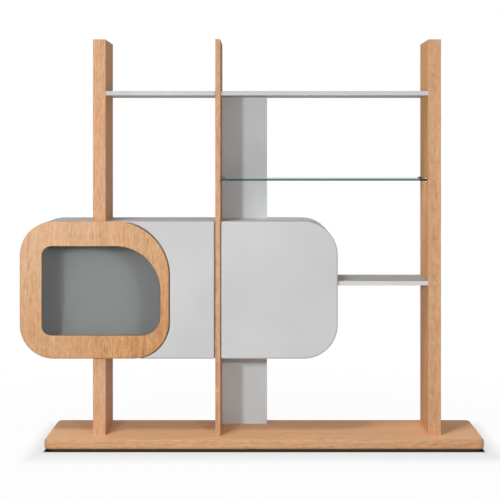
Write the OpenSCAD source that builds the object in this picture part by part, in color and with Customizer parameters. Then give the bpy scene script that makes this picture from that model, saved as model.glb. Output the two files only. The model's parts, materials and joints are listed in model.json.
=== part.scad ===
// Free-standing display shelving unit in millimetres. An oak base slab carries a thick oak
// post at each side and a thin oak panel between them. Lacquered shelves and a glass shelf
// span the bays, and two low cabinets with rounded corners hang on the panel and the left
// post, closed by a glazed oak door and two lacquered doors.
// The origin is on the floor under the middle of the base. The front looks towards -Y.

/* [Base] */
// Width of the oak base slab
base_w = 1920; // [1880:10:2100]
// Depth of the oak base slab
base_d = 400; // [390:5:480]
// Thickness of the oak base slab
base_t = 46; // [38:1:60]
// Radius of the slab's corners, seen from above
base_corner_r = 24; // [18:1:60]
// Radius of the slab's upper and lower edges
base_edge_r = 13; // [6:1:16]
// Height of the dark plinth board under the slab
plinth_t = 9; // [6:1:20]
// How far the plinth board stands back from the slab's edge
plinth_inset = 17; // [16:1:40]

/* [Posts and centre panel] */
// Height of the unit above the floor
unit_h = 1803; // [1780:1:1950]
// Width of a post, seen from the front
post_w = 56; // [46:1:70]
// Front of the posts behind the front of the base
post_setback = 80; // [75:5:90]
// Back of the posts in front of the back of the base
post_back_setback = 40; // [20:5:60]
// Left face of the left post, from the middle of the base
left_post_x = -756; // [-790:1:-720]
// Left face of the right post, from the middle of the base
right_post_x = 725; // [700:1:780]
// Left face of the centre panel, from the middle of the base
panel_x = -215.5; // [-240:0.5:-190]
// Thickness of the centre panel
panel_t = 22.5; // [18:0.5:26]
// Front of the centre panel behind the front of the doors
panel_setback = 4; // [1:0.5:8]
// Back of the centre panel and the cabinets in front of the back of the base
panel_back_setback = 10; // [5:1:20]
// Radius of the eased edges of the posts and the panel
post_edge_r = 1.5; // [0.5:0.25:3]

/* [Shelves] */
// Thickness of a lacquered shelf
shelf_t = 20; // [16:1:28]
// Radius of a lacquered shelf's eased edges
shelf_edge_r = 1.5; // [0.5:0.25:3]
// Top shelves' upper face below the top of the posts
top_shelf_drop = 228; // [150:1:300]
// Side shelf's upper face above the middle of the cabinets
side_shelf_rise = 38.5; // [0:0.5:70]
// Thickness of the glass shelf
glass_t = 8; // [6:1:12]
// Glass shelf's upper face above the top of the cabinets
glass_rise = 186; // [120:1:300]
// Front of the glass shelf behind the front of the posts
glass_setback = 18; // [10:1:40]
// Width of the upright board behind the right bay
spine_w = 207; // [150:1:260]
// Thickness of the upright board
spine_t = 20; // [16:1:28]
// Back of the upright board in front of the back of the posts
spine_back_setback = 29; // [20:1:60]

/* [Cabinets] */
// Height of the cabinets' underside above the floor
cabinet_z = 395; // [340:1:430]
// Height of the cabinets
cabinet_h = 605; // [570:1:640]
// Width of the left cabinet
left_cabinet_w = 861; // [820:0.5:900]
// Width of the right cabinet
right_cabinet_w = 517; // [480:1:580]
// Radius of the cabinets' outer corners
cabinet_r = 150; // [110:5:170]
// Thickness of the cabinets' walls
wall_t = 20; // [18:1:24]
// Thickness of the cabinets' back panels
back_t = 8; // [5:1:12]
// Back panels' distance in front of the walls' back edges
back_inset = 4; // [2:1:12]
// Thickness of the divider between the niche and the middle compartment
divider_t = 18; // [16:1:22]
// Thickness of the shelf in the right cabinet
inner_shelf_t = 18; // [15:1:22]
// Height of that shelf's underside above the cabinet's underside
inner_shelf_lift = 295; // [270:1:330]

/* [Doors] */
// Thickness of every door
door_t = 20; // [19:0.5:24]
// Gap between the doors and the cabinets behind them
door_gap = 2; // [1.5:0.25:3]
// Gap between a door and its neighbour
door_joint = 3.5; // [2.5:0.25:5]
// Radius of the doors' rounded front edges
door_edge_r = 8; // [3:0.5:9]
// Width that the glazed door leaves to the middle door
middle_door_w = 204; // [190:1:220]
// Upper right corner radius of the glazed door
glazed_top_r = 240; // [200:5:250]
// Lower right corner radius of the glazed door
glazed_low_r = 160; // [120:5:180]
// Width of the glazed door's hinge stile
hinge_stile_w = 97; // [90:1:110]
// Width of the glazed door's free stile
free_stile_w = 37; // [34:1:45]
// Height of the glazed door's upper rail
top_rail_h = 109; // [90:1:120]
// Height of the glazed door's lower rail
low_rail_h = 102; // [90:1:115]
// Corner radius of the glass opening beside the hinge stile
opening_hinge_r = 43; // [25:1:60]
// Upper corner radius of the glass opening beside the free stile
opening_top_r = 200; // [160:1:205]
// Lower corner radius of the glass opening beside the free stile
opening_low_r = 85; // [60:1:110]
// Radius of the opening's front edge
opening_edge_r = 2.5; // [1:0.5:4]
// Thickness of the glass pane
pane_t = 4; // [3:0.5:5]
// How far the pane reaches behind the frame
pane_lap = 8; // [6:0.5:9]
// Depth of the rebate for the pane and its bead
rebate_d = 9; // [8:0.5:10]

/* [Hinges and latches] */
// Diameter of a hinge cup
cup_dia = 35; // [34:0.5:36]
// Depth of a hinge cup
cup_depth = 12; // [11:0.5:13]
// Gap between the side wall's inner face and the cup
cup_margin = 5; // [4:0.5:8]
// Distance of the side walls' hinge plates from the rounded corners
side_hinge_margin = 21.5; // [5:0.5:40]
// Hinge distance from the top and bottom of the middle door
middle_hinge_inset = 92; // [75:1:120]
// Width of a hinge arm
arm_w = 14; // [12:1:16]
// Diameter of a push latch's plunger
plunger_dia = 7.8; // [7:0.1:8.4]
// Width and height of a push latch's housing
latch_w = 13; // [12:0.5:14]
// Length of a push latch's housing
latch_l = 70; // [65:1:90]
// Travel of a push latch's plunger as its door is pressed
latch_travel = 1.5; // [1:0.25:1.5]

/* [Hidden] */
$fn = 144;
overrun = 1;
slack = 0.3;
running = 0.05;
deep_clear = 0.5;

// Heights
slab_top = plinth_t + base_t;
cabinet_top = cabinet_z + cabinet_h;
cabinet_mid = cabinet_z + cabinet_h / 2;
top_shelf_z = unit_h - top_shelf_drop;
side_shelf_z = cabinet_mid + side_shelf_rise;
glass_z = cabinet_top + glass_rise;
glass_low = glass_z - glass_t;
inner_shelf_z = cabinet_z + inner_shelf_lift;

// Depths
base_front = -base_d / 2;
base_back = base_d / 2;
post_front = base_front + post_setback;
post_back = base_back - post_back_setback;
post_d = post_back - post_front;
door_back = post_front;
door_front = door_back - door_t;
panel_front = door_front + panel_setback;
panel_back = base_back - panel_back_setback;
panel_d = panel_back - panel_front;
wall_front = door_back + door_gap;
wall_back = panel_back;
cabinet_d = wall_back - wall_front;
back_rear = wall_back - back_inset;
back_front = back_rear - back_t;
spine_back = post_back - spine_back_setback;
spine_front = spine_back - spine_t;
glass_front = post_front + glass_setback;
glass_back = post_back - glass_setback / 3;

// Widths
left_post_right = left_post_x + post_w;
right_post_right = right_post_x + post_w;
panel_right = panel_x + panel_t;
spine_right = panel_right + spine_w;
left_x = panel_x - left_cabinet_w;
right_x = panel_right + right_cabinet_w;
left_side_x = panel_x - wall_t;
right_side_x = panel_right + wall_t;

// Doors
glazed_right = panel_x - middle_door_w;
middle_right = panel_x - door_joint;
right_door_left = panel_right + door_joint;
divider_right = glazed_right - free_stile_w / 4;
divider_left = divider_right - divider_t;
small_r = door_edge_r + slack;
middle_tip_share = 0.75;
glazed_radii = [cabinet_r, glazed_low_r, glazed_top_r, cabinet_r];
opening_radii = [opening_hinge_r, opening_low_r, opening_top_r, opening_hinge_r];
opening_lo = [left_x + hinge_stile_w, cabinet_z + low_rail_h];
opening_hi = [glazed_right - free_stile_w, cabinet_top - top_rail_h];
rebate_lap = pane_lap + deep_clear;

// Hinges: u runs from the door's hinge edge along the door, v from its front backwards
cup_r = cup_dia / 2;
cup_wall = 1;
cup_u = wall_t + cup_margin + cup_r;
cup_seat = cup_r + running;
flange_t = 1.2;
flange_h = 58;
flange_w = 26;
flange_rim = 2;
cup_screw_spread = 23;
screw_r = 1.75;
screw_head_r = 3.4;
screw_head_t = 1.6;
cup_screw_l = 11;
plate_screw_l = 13;
plate_t = 3;
plate_setback = 18;
plate_front = door_t + door_gap + plate_setback;
plate_d = 50;
plate_h = 46;
plate_corner_r = 5;
plate_screw_spread = 16;
arm_t = 11;
arm_overhang = 4;
arm_tail = plate_front + plate_d + arm_overhang;
tongue_w = 8;
tongue_clear = 2;
tongue_tip = door_t - cup_depth + cup_wall + tongue_clear;
neck_t = 9;
neck_back = door_t + door_gap + neck_t;
side_hinge_spread = cabinet_h / 2 - cabinet_r - plate_h / 2 - side_hinge_margin;
side_hinge_zs = [cabinet_mid - side_hinge_spread, cabinet_mid + side_hinge_spread];
middle_hinge_zs = [cabinet_z + middle_hinge_inset, cabinet_top - middle_hinge_inset];

// Push latches: plunger axis [x, z] of each
plunger_r = plunger_dia / 2;
latch_bore_r = plunger_r + running;
latch_recess = 2;
plunger_l = 52;
plunger_tail_clear = 5;
striker_r = 7;
striker_t = 1;
glazed_latch = [divider_left - latch_w / 2, cabinet_z + low_rail_h + opening_low_r / 4];
middle_latch = [divider_right + 2 * latch_w, cabinet_top - wall_t - latch_w / 2];
right_latch = [right_side_x + latch_w / 2, inner_shelf_z - 4 * latch_w];
latches = [glazed_latch, middle_latch, right_latch];

// Glass clamps: [face x, side of the glass, middle y] of each
clamp_w = 14;
clamp_reach = 15;
clamp_h = 17;
clamp_pad_t = 1;
clamp_back = 3;
clamp_lift = 4;
clamp_stem_r = 3;
clamp_stem_l = 9;
clamp_inset = 22;
grub_r = 2.5;
clamps = [
    [panel_right, 1, glass_front + clamp_inset],
    [panel_right, 1, spine_front - 2 * clamp_inset],
    [right_post_x, -1, glass_front + clamp_inset],
    [right_post_x, -1, glass_back - clamp_inset]
];

// Fasteners
bolt_r = 4;
bolt_head_r = 8;
bolt_head_t = 6;
bolt_grip = 70;
bolt_clear = 0.2;
panel_bolt_r = 3;
panel_bolt_head_r = 6;
post_bolt_shares = [0.25, 0.75];
sleeve_r = 3;
sleeve_head_r = 7;
sleeve_head_t = 2;
sleeve_depth_shares = [0.2, 0.8];
sleeve_height_shares = [0.08, 0.92];
dowel_r = 4;
dowel_clear = 0.1;
dowel_bite = 22;
post_dowel_bite = 25;
shelf_dowel_shares = [0.2, 0.75];
spine_dowel_shares = [0.3, 0.8];
pin_r = 2.5;
pin_bite = 8;
pin_reach = 9;
pin_collar_r = 4;
pin_collar_t = 1.5;
inner_shelf_front = wall_front + latch_l / 2;
inner_shelf_gap = pin_collar_t + slack;

oak = [0.80, 0.60, 0.42];
lacquer = [0.80, 0.80, 0.79];
steel = [0.72, 0.73, 0.75];
glass = [0.45, 0.62, 0.58, 0.45];
black = [0.08, 0.08, 0.08];

// Outward directions of an outline's left, bottom, right and top sides. Corners are taken
// bottom left, bottom right, top right, top left, each between two of these sides.
outward = [[-1, 0], [0, -1], [1, 0], [0, 1]];

function corner(lo, hi, radii, i) = [
    (i == 0 || i == 3) ? lo.x + radii[i] : hi.x - radii[i],
    (i < 2) ? lo.y + radii[i] : hi.y - radii[i]
];

// Outline without its corner discs, drawn in by a band along the straight runs
function core_points(lo, hi, radii, band) = [
    for (i = [0:3])
        let (c = corner(lo, hi, radii, i), reach = radii[i] - band)
        each (reach > 0
            ? [c + reach * outward[i], c, c + reach * outward[(i + 1) % 4]]
            : [c])
];

function grown(radii, by) = [for (r = radii) r + by];

module quarter_disc(r) {
    intersection() {
        circle(r);
        square([r, r]);
    }
}

// Rounded outline with four radii of its own
module soft_outline(lo, hi, radii) {
    polygon(core_points(lo, hi, radii, 0));
    for (i = [0:3])
        if (radii[i] > 0)
            translate(corner(lo, hi, radii, i))
                rotate(180 + 90 * i) quarter_disc(radii[i]);
}

// Sweeps a section round the outline. The section gets $reach, its outer limit.
module swept_rim(lo, hi, radii, band) {
    for (i = [0:3]) {
        c = corner(lo, hi, radii, i);
        next = corner(lo, hi, radii, (i + 1) % 4);
        side = outward[(i + 1) % 4];
        run = abs((next - c) * outward[i]);
        translate(c) rotate(180 + 90 * i) rotate_extrude(angle = 90) {
            $reach = radii[i];
            children();
        }
        if (run > 0)
            translate(next + (radii[(i + 1) % 4] - band) * side)
                rotate(180 + 90 * i) rotate([90, 0, 90]) linear_extrude(run) {
                    $reach = band;
                    children();
                }
    }
}

// Section of a board's rim with its upper and lower outer corners rounded
module edge_section(w, t, upper_r, lower_r) {
    translate([0, lower_r]) square([w, t - upper_r - lower_r]);
    if (upper_r > 0) {
        translate([0, t - upper_r]) square([w - upper_r, upper_r]);
        translate([w - upper_r, t - upper_r]) quarter_disc(upper_r);
    }
    if (lower_r > 0) {
        square([w - lower_r, lower_r]);
        translate([w - lower_r, lower_r]) mirror([0, 1]) quarter_disc(lower_r);
    }
}

// Section of a cutter that leaves a rounded upper edge round the hole it makes
module flare_section(w, t, flare_r) {
    translate([0, -overrun]) square([w, t + 2 * overrun]);
    difference() {
        translate([w, t - flare_r]) square([flare_r, flare_r + overrun]);
        translate([w + flare_r, t - flare_r]) circle(flare_r);
    }
}

// Board with a rounded outline and rounded edges, lying on z = 0
module soft_board(lo, hi, radii, t, upper_r, lower_r) {
    band = min(radii);
    linear_extrude(t) polygon(core_points(lo, hi, radii, band));
    swept_rim(lo, hi, radii, band) edge_section($reach, t, upper_r, lower_r);
}

// Cutter of a rounded hole through a board that lies on z = 0
module soft_hole(lo, hi, radii, t, flare_r) {
    band = min(radii);
    translate([0, 0, -overrun])
        linear_extrude(t + 2 * overrun) polygon(core_points(lo, hi, radii, band));
    swept_rim(lo, hi, radii, band) flare_section($reach, t, flare_r);
}

// Stands a shape drawn in x and y upright, its top facing the front, its bottom at depth y
module upright(y) {
    translate([0, y, 0]) rotate([90, 0, 0]) children();
}

module rod_x(x0, x1, y, z, r) {
    translate([x0, y, z]) rotate([0, 90, 0]) cylinder(h = x1 - x0, r = r);
}

module rod_z(x, y, z0, z1, r) {
    translate([x, y, z0]) cylinder(h = z1 - z0, r = r);
}

module rod_y(x, z, y0, y1, r) {
    translate([x, y0, z]) rotate([-90, 0, 0]) cylinder(h = y1 - y0, r = r);
}

// Upright board or post between two heights with eased edges, its top edge eased too
module standing(x0, x1, y0, y1, z0, z1, top_r) {
    edge_r = post_edge_r + slack;
    translate([0, 0, z0])
        soft_board([x0, y0], [x1, y1], [edge_r, edge_r, edge_r, edge_r], z1 - z0, top_r, 0);
}

module shelf_board(x0, x1, z_top) {
    edge_r = shelf_edge_r + slack;
    translate([0, 0, z_top - shelf_t])
        soft_board([x0, post_front], [x1, post_back], [edge_r, edge_r, edge_r, edge_r],
            shelf_t, shelf_edge_r, shelf_edge_r);
}

// Places shared by the pieces that a fastener joins

post_bolt_ys = [for (s = post_bolt_shares) post_front + s * post_d];
panel_bolt_ys = [for (s = post_bolt_shares) panel_front + s * panel_d];
sleeve_ys = [for (s = sleeve_depth_shares) wall_front + s * cabinet_d];
sleeve_zs = [for (s = sleeve_height_shares) cabinet_z + s * cabinet_h];
shelf_dowel_ys = [for (s = shelf_dowel_shares) post_front + s * post_d];
spine_dowel_xs = [for (s = spine_dowel_shares) panel_right + s * spine_w];
spine_mid = spine_front + spine_t / 2;
post_mid_xs = [left_post_x + post_w / 2, right_post_x + post_w / 2];
panel_mid_x = panel_x + panel_t / 2;
wall_dowel_ys = sleeve_ys;
wall_dowel_zs = [cabinet_z + wall_t / 2, cabinet_top - wall_t / 2];

// Bolts that come up through the base into the posts and the panel

module base_bolts_at(grow) {
    for (x = post_mid_xs, y = post_bolt_ys) {
        rod_z(x, y, plinth_t + slack, slab_top + bolt_grip + grow, bolt_r + grow);
        rod_z(x, y, plinth_t + slack - grow, plinth_t + bolt_head_t + grow,
            bolt_head_r + grow);
    }
    for (y = panel_bolt_ys) {
        rod_z(panel_mid_x, y, plinth_t + slack, slab_top + bolt_grip + grow,
            panel_bolt_r + grow);
        rod_z(panel_mid_x, y, plinth_t + slack - grow, plinth_t + bolt_head_t + grow,
            panel_bolt_head_r + grow);
    }
}

// Bolts from inside the left cabinet down and up into the lengths of the left post

module cabinet_bolts_at(grow) {
    for (y = post_bolt_ys) {
        rod_z(post_mid_xs[0], y, cabinet_z - bolt_grip - grow, cabinet_z + wall_t,
            bolt_r + grow);
        rod_z(post_mid_xs[0], y, cabinet_z + wall_t, cabinet_z + wall_t + bolt_head_t,
            bolt_head_r);
        rod_z(post_mid_xs[0], y, cabinet_top - wall_t, cabinet_top + bolt_grip + grow,
            bolt_r + grow);
        rod_z(post_mid_xs[0], y, cabinet_top - wall_t - bolt_head_t, cabinet_top - wall_t,
            bolt_head_r);
    }
}

// Sleeve bolts that clamp the cabinets' side panels on the centre panel

module connecting_bolts_at(grow) {
    for (y = sleeve_ys, z = sleeve_zs)
        rod_x(left_side_x - overrun * sign(grow), right_side_x + overrun * sign(grow), y, z,
            sleeve_r + grow);
}

// Dowels in the ends of the shelves

module shelf_dowels_at(grow) {
    z_top = top_shelf_z - shelf_t / 2;
    z_side = side_shelf_z - shelf_t / 2;
    for (y = shelf_dowel_ys) {
        rod_x(left_post_right - post_dowel_bite - grow, left_post_right + dowel_bite + grow,
            y, z_top, dowel_r + grow);
        rod_x(panel_x - dowel_bite - grow, panel_right + dowel_bite + grow,
            y, z_top, dowel_r + grow);
        rod_x(right_post_x - dowel_bite - grow, right_post_x + post_dowel_bite + grow,
            y, z_top, dowel_r + grow);
        rod_x(right_x - wall_t / 2 - grow, right_x + dowel_bite + grow, y, z_side,
            dowel_r + grow);
        rod_x(right_post_x - dowel_bite - grow, right_post_x + post_dowel_bite + grow,
            y, z_side, dowel_r + grow);
    }
}

// Dowels in the ends of the upright board

module spine_dowels_at(grow) {
    for (x = spine_dowel_xs) {
        rod_z(x, spine_mid, slab_top - dowel_bite - grow, slab_top + dowel_bite + grow,
            dowel_r + grow);
        rod_z(x, spine_mid, cabinet_z - dowel_bite - grow, cabinet_z + wall_t / 2 + grow,
            dowel_r + grow);
        rod_z(x, spine_mid, cabinet_top - wall_t / 2 - grow, cabinet_top + dowel_bite + grow,
            dowel_r + grow);
        rod_z(x, spine_mid, top_shelf_z - shelf_t - dowel_bite - grow,
            top_shelf_z - shelf_t / 2 + grow, dowel_r + grow);
    }
}

// Dowels that join the bent shells to the side panels and the divider

module wall_dowels_at(grow) {
    for (y = wall_dowel_ys, z = wall_dowel_zs) {
        rod_x(left_side_x - dowel_bite - grow, left_side_x + wall_t / 2 + grow, y, z,
            dowel_r + grow);
        rod_x(right_side_x - wall_t / 2 - grow, right_side_x + dowel_bite + grow, y, z,
            dowel_r + grow);
    }
}

// Base, posts and panel

module plinth_board() {
    inset_r = base_corner_r;
    color(black)
        soft_board([-base_w / 2 + plinth_inset, -base_d / 2 + plinth_inset],
            [base_w / 2 - plinth_inset, base_d / 2 - plinth_inset],
            [inset_r, inset_r, inset_r, inset_r], plinth_t, 0, 0);
}

module base_slab() {
    r = base_corner_r;
    color(oak) difference() {
        translate([0, 0, plinth_t])
            soft_board([-base_w / 2, -base_d / 2], [base_w / 2, base_d / 2], [r, r, r, r],
                base_t, base_edge_r, base_edge_r);
        base_bolts_at(bolt_clear);
        spine_dowels_at(dowel_clear);
    }
}

module left_post_lower() {
    color(oak) difference() {
        standing(left_post_x, left_post_right, post_front, post_back, slab_top, cabinet_z, 0);
        base_bolts_at(bolt_clear);
        cabinet_bolts_at(bolt_clear);
    }
}

module left_post_upper() {
    color(oak) difference() {
        standing(left_post_x, left_post_right, post_front, post_back, cabinet_top, unit_h,
            post_edge_r);
        cabinet_bolts_at(bolt_clear);
        shelf_dowels_at(dowel_clear);
    }
}

module centre_panel() {
    color(oak) difference() {
        standing(panel_x, panel_right, panel_front, panel_back, slab_top, unit_h,
            post_edge_r);
        base_bolts_at(bolt_clear);
        connecting_bolts_at(bolt_clear);
        shelf_dowels_at(dowel_clear);
        clamp_stems(running);
    }
}

module right_post() {
    color(oak) difference() {
        standing(right_post_x, right_post_right, post_front, post_back, slab_top, unit_h,
            post_edge_r);
        base_bolts_at(bolt_clear);
        shelf_dowels_at(dowel_clear);
        clamp_stems(running);
    }
}

// Upright board behind the right bay

module spine_length(z0, z1) {
    color(lacquer) difference() {
        standing(panel_right, spine_right, spine_front, spine_back, z0, z1, 0);
        spine_dowels_at(dowel_clear);
    }
}

module spine_lower() {
    spine_length(slab_top, cabinet_z);
}

module spine_upper() {
    spine_length(cabinet_top, top_shelf_z - shelf_t);
}

// Shelves

module top_shelf_left() {
    color(lacquer) difference() {
        shelf_board(left_post_right, panel_x, top_shelf_z);
        shelf_dowels_at(dowel_clear);
    }
}

module top_shelf_right() {
    color(lacquer) difference() {
        shelf_board(panel_right, right_post_x, top_shelf_z);
        shelf_dowels_at(dowel_clear);
        spine_dowels_at(dowel_clear);
    }
}

module side_shelf() {
    color(lacquer) difference() {
        shelf_board(right_x, right_post_x, side_shelf_z);
        shelf_dowels_at(dowel_clear);
    }
}

// The glass passes in front of the upright board, and is notched round it behind
module glass_shelf() {
    end_gap = clamp_back + slack;
    notch_x = spine_right + clamp_back;
    notch_y = spine_front - clamp_back;
    color(glass) translate([0, 0, glass_low]) linear_extrude(glass_t)
        polygon([
            [panel_right + end_gap, glass_front], [right_post_x - end_gap, glass_front],
            [right_post_x - end_gap, glass_back], [notch_x, glass_back],
            [notch_x, notch_y], [panel_right + end_gap, notch_y]
        ]);
}

// Clamp in its own place: x leaves the face that it is screwed to, z = 0 is the glass's underside
module clamp_frame(c) {
    translate([c[0], c[2], glass_low]) mirror([c[1] > 0 ? 0 : 1, 0, 0]) children();
}

module clamp_stems(grow) {
    for (c = clamps)
        clamp_frame(c) rod_x(-clamp_stem_l - grow, 0, 0, -clamp_pad_t - clamp_lift / 2,
            clamp_stem_r + grow);
}

module glass_clamp() {
    low = -clamp_pad_t - (clamp_h - glass_t - 2 * clamp_pad_t - clamp_lift);
    straight = clamp_reach - clamp_w / 2;
    difference() {
        translate([0, 0, low]) union() {
            translate([0, -clamp_w / 2, 0]) cube([straight, clamp_w, clamp_h]);
            translate([straight, 0, 0]) cylinder(h = clamp_h, r = clamp_w / 2);
        }
        translate([-clamp_w, -clamp_w, low - overrun])
            cube([clamp_w, 2 * clamp_w, clamp_h + 2 * overrun]);
        translate([clamp_back, -clamp_w, -clamp_pad_t])
            cube([clamp_reach, 2 * clamp_w, glass_t + 2 * clamp_pad_t]);
        rod_z(straight, 0, low - overrun, low + clamp_lift / 2, grub_r);
    }
    rod_x(-clamp_stem_l, 0, 0, -clamp_pad_t - clamp_lift / 2, clamp_stem_r);
}

module glass_clamps() {
    color(steel) for (c = clamps) clamp_frame(c) glass_clamp();
}

module clamp_pads() {
    pad_l = clamp_reach - clamp_back - clamp_w / 3;
    color(black) for (c = clamps, z = [-clamp_pad_t, glass_t])
        clamp_frame(c) translate([clamp_back + slack, -clamp_w / 3, z])
            cube([pad_l, 2 * clamp_w / 3, clamp_pad_t]);
}

// Cabinet walls: a bent shell with two rounded corners and a straight side panel

module left_cabinet_shell() {
    color(lacquer) difference() {
        upright(wall_back) linear_extrude(cabinet_d) difference() {
            soft_outline([left_x, cabinet_z], [left_side_x, cabinet_top],
                [cabinet_r, 0, 0, cabinet_r]);
            soft_outline([left_x + wall_t, cabinet_z + wall_t],
                [left_side_x + overrun, cabinet_top - wall_t],
                [cabinet_r - wall_t, 0, 0, cabinet_r - wall_t]);
        }
        cabinet_bolts_at(bolt_clear);
        wall_dowels_at(dowel_clear);
        plate_screws_in(side_hinge_zs, left_x, 1, wall_t, running);
    }
}

module left_cabinet_side() {
    color(lacquer) difference() {
        translate([left_side_x, wall_front, cabinet_z]) cube([wall_t, cabinet_d, cabinet_h]);
        connecting_bolts_at(bolt_clear);
        wall_dowels_at(dowel_clear);
        plate_screws_in(middle_hinge_zs, middle_right, -1, middle_wall_u, running);
    }
}

module left_cabinet_divider() {
    color(lacquer)
        translate([divider_left, wall_front, cabinet_z + wall_t])
            cube([divider_t, back_front - wall_front, cabinet_h - 2 * wall_t]);
}

module left_cabinet_back() {
    r = cabinet_r - wall_t - slack;
    inset = wall_t + slack;
    color(lacquer) upright(back_rear) linear_extrude(back_t)
        soft_outline([left_x + inset, cabinet_z + inset], [left_side_x, cabinet_top - inset],
            [r, 0, 0, r]);
}

module right_cabinet_shell() {
    color(lacquer) difference() {
        upright(wall_back) linear_extrude(cabinet_d) difference() {
            soft_outline([right_side_x, cabinet_z], [right_x, cabinet_top],
                [0, cabinet_r, cabinet_r, 0]);
            soft_outline([right_side_x - overrun, cabinet_z + wall_t],
                [right_x - wall_t, cabinet_top - wall_t],
                [0, cabinet_r - wall_t, cabinet_r - wall_t, 0]);
        }
        shelf_dowels_at(dowel_clear);
        spine_dowels_at(dowel_clear);
        wall_dowels_at(dowel_clear);
        shelf_pins_at(running);
        plate_screws_in(side_hinge_zs, right_x, -1, wall_t, running);
    }
}

module right_cabinet_side() {
    color(lacquer) difference() {
        translate([panel_right, wall_front, cabinet_z]) cube([wall_t, cabinet_d, cabinet_h]);
        connecting_bolts_at(bolt_clear);
        wall_dowels_at(dowel_clear);
        spine_dowels_at(dowel_clear);
        shelf_pins_at(running);
    }
}

module right_cabinet_back() {
    r = cabinet_r - wall_t - slack;
    inset = wall_t + slack;
    color(lacquer) upright(back_rear) linear_extrude(back_t)
        soft_outline([right_side_x, cabinet_z + inset], [right_x - inset, cabinet_top - inset],
            [0, r, r, 0]);
}

module right_cabinet_shelf() {
    color(lacquer)
        translate([right_side_x + inner_shelf_gap, inner_shelf_front, inner_shelf_z])
            cube([right_cabinet_w - 2 * wall_t - 2 * inner_shelf_gap,
                back_front - inner_shelf_front, inner_shelf_t]);
}

shelf_pin_ys = [for (s = sleeve_depth_shares)
    inner_shelf_front + s * (back_front - inner_shelf_front)];
shelf_pin_z = inner_shelf_z - pin_r;

module shelf_pins_at(grow) {
    for (y = shelf_pin_ys) {
        rod_x(right_side_x - pin_bite - grow, right_side_x + pin_reach, y, shelf_pin_z,
            pin_r + grow);
        rod_x(right_x - wall_t - pin_reach, right_x - wall_t + pin_bite + grow, y,
            shelf_pin_z, pin_r + grow);
    }
}

module shelf_pins() {
    color(steel) {
        shelf_pins_at(0);
        for (y = shelf_pin_ys) {
            rod_x(right_side_x, right_side_x + pin_collar_t, y, shelf_pin_z, pin_collar_r);
            rod_x(right_x - wall_t - pin_collar_t, right_x - wall_t, y, shelf_pin_z,
                pin_collar_r);
        }
    }
}

// Fasteners as solids

module base_bolts() {
    color(steel) base_bolts_at(0);
}

module cabinet_bolts() {
    color(steel) cabinet_bolts_at(0);
}

module connecting_bolts() {
    color(steel) {
        connecting_bolts_at(0);
        for (y = sleeve_ys, z = sleeve_zs) {
            rod_x(left_side_x - sleeve_head_t, left_side_x, y, z, sleeve_head_r);
            rod_x(right_side_x, right_side_x + sleeve_head_t, y, z, sleeve_head_r);
        }
    }
}

module shelf_dowels() {
    color(oak) shelf_dowels_at(0);
}

module spine_dowels() {
    color(oak) spine_dowels_at(0);
}

module wall_dowels() {
    color(oak) wall_dowels_at(0);
}

// Hinge frame: the child's x is u, its y is v, at the height z
module at_hinge(edge_x, side, z) {
    translate([edge_x, door_front, z]) mirror([side > 0 ? 0 : 1, 0, 0]) children();
}

middle_wall_u = middle_right - left_side_x;

module hinge_cup() {
    flange_lo = [-flange_w / 2, -flange_h / 2];
    flange_hi = [flange_w / 2, flange_h / 2];
    corner_r = flange_w / 4;
    translate([cup_u, door_t, 0]) rotate([-90, 0, 0]) difference() {
        union() {
            translate([0, 0, -cup_depth]) cylinder(h = cup_depth, r = cup_r);
            linear_extrude(flange_t) {
                circle(cup_r + flange_rim);
                soft_outline(flange_lo, flange_hi, [corner_r, corner_r, corner_r, corner_r]);
            }
        }
        translate([0, 0, cup_wall - cup_depth]) cylinder(h = cup_depth + flange_t,
            r = cup_r - cup_wall);
        for (s = [-1, 1])
            translate([0, s * cup_screw_spread, -overrun])
                cylinder(h = flange_t + 2 * overrun, r = screw_r + running);
    }
}

module cup_screws(grow) {
    for (s = [-1, 1]) {
        z = s * cup_screw_spread;
        rod_y(cup_u, z, door_t - cup_screw_l - grow, door_t + flange_t, screw_r + grow);
        rod_y(cup_u, z, door_t + flange_t, door_t + flange_t + screw_head_t, screw_head_r);
    }
}

// What the cups and their screws take out of a door's back
module cup_seats(edge_x, side, zs) {
    for (z = zs) at_hinge(edge_x, side, z) {
        rod_y(cup_u, 0, door_t - cup_depth - running, door_t + overrun, cup_seat);
        cup_screws(running);
    }
}

module door_cups(edge_x, side, zs) {
    color(steel) for (z = zs) at_hinge(edge_x, side, z) hinge_cup();
}

module door_screws(edge_x, side, zs) {
    color(steel) for (z = zs) at_hinge(edge_x, side, z) cup_screws(0);
}

// Plate on the side wall and arm whose tongue reaches into the cup
module hinge_plate(wall_u) {
    a = wall_u + plate_t;
    middle_v = plate_front + plate_d / 2;
    tongue_in = cup_u - tongue_w;
    difference() {
        translate([wall_u, middle_v, 0]) rotate([0, 90, 0]) linear_extrude(plate_t)
            soft_outline([-plate_h / 2, -plate_d / 2], [plate_h / 2, plate_d / 2],
                [plate_corner_r, plate_corner_r, plate_corner_r, plate_corner_r]);
        for (s = [-1, 1])
            rod_x(wall_u - overrun, a + overrun, middle_v, s * plate_screw_spread,
                screw_r + running);
    }
    translate([0, 0, -arm_w / 2]) linear_extrude(arm_w)
        polygon([
            [a, arm_tail], [a, plate_front], [tongue_in - plate_t, neck_back - plate_t],
            [tongue_in, door_t + door_gap], [tongue_in, tongue_tip], [cup_u, tongue_tip],
            [cup_u, neck_back], [a + arm_t, plate_front + arm_t], [a + arm_t, arm_tail]
        ]);
}

module plate_screws(wall_u, grow) {
    middle_v = plate_front + plate_d / 2;
    head_u = wall_u + plate_t;
    for (s = [-1, 1]) {
        z = s * plate_screw_spread;
        rod_x(wall_u + plate_t - plate_screw_l - grow, head_u, middle_v, z, screw_r + grow);
        rod_x(head_u, head_u + screw_head_t, middle_v, z, screw_head_r);
    }
}

module plate_screws_in(zs, edge_x, side, wall_u, grow) {
    for (z = zs) at_hinge(edge_x, side, z) plate_screws(wall_u, grow);
}

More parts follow.
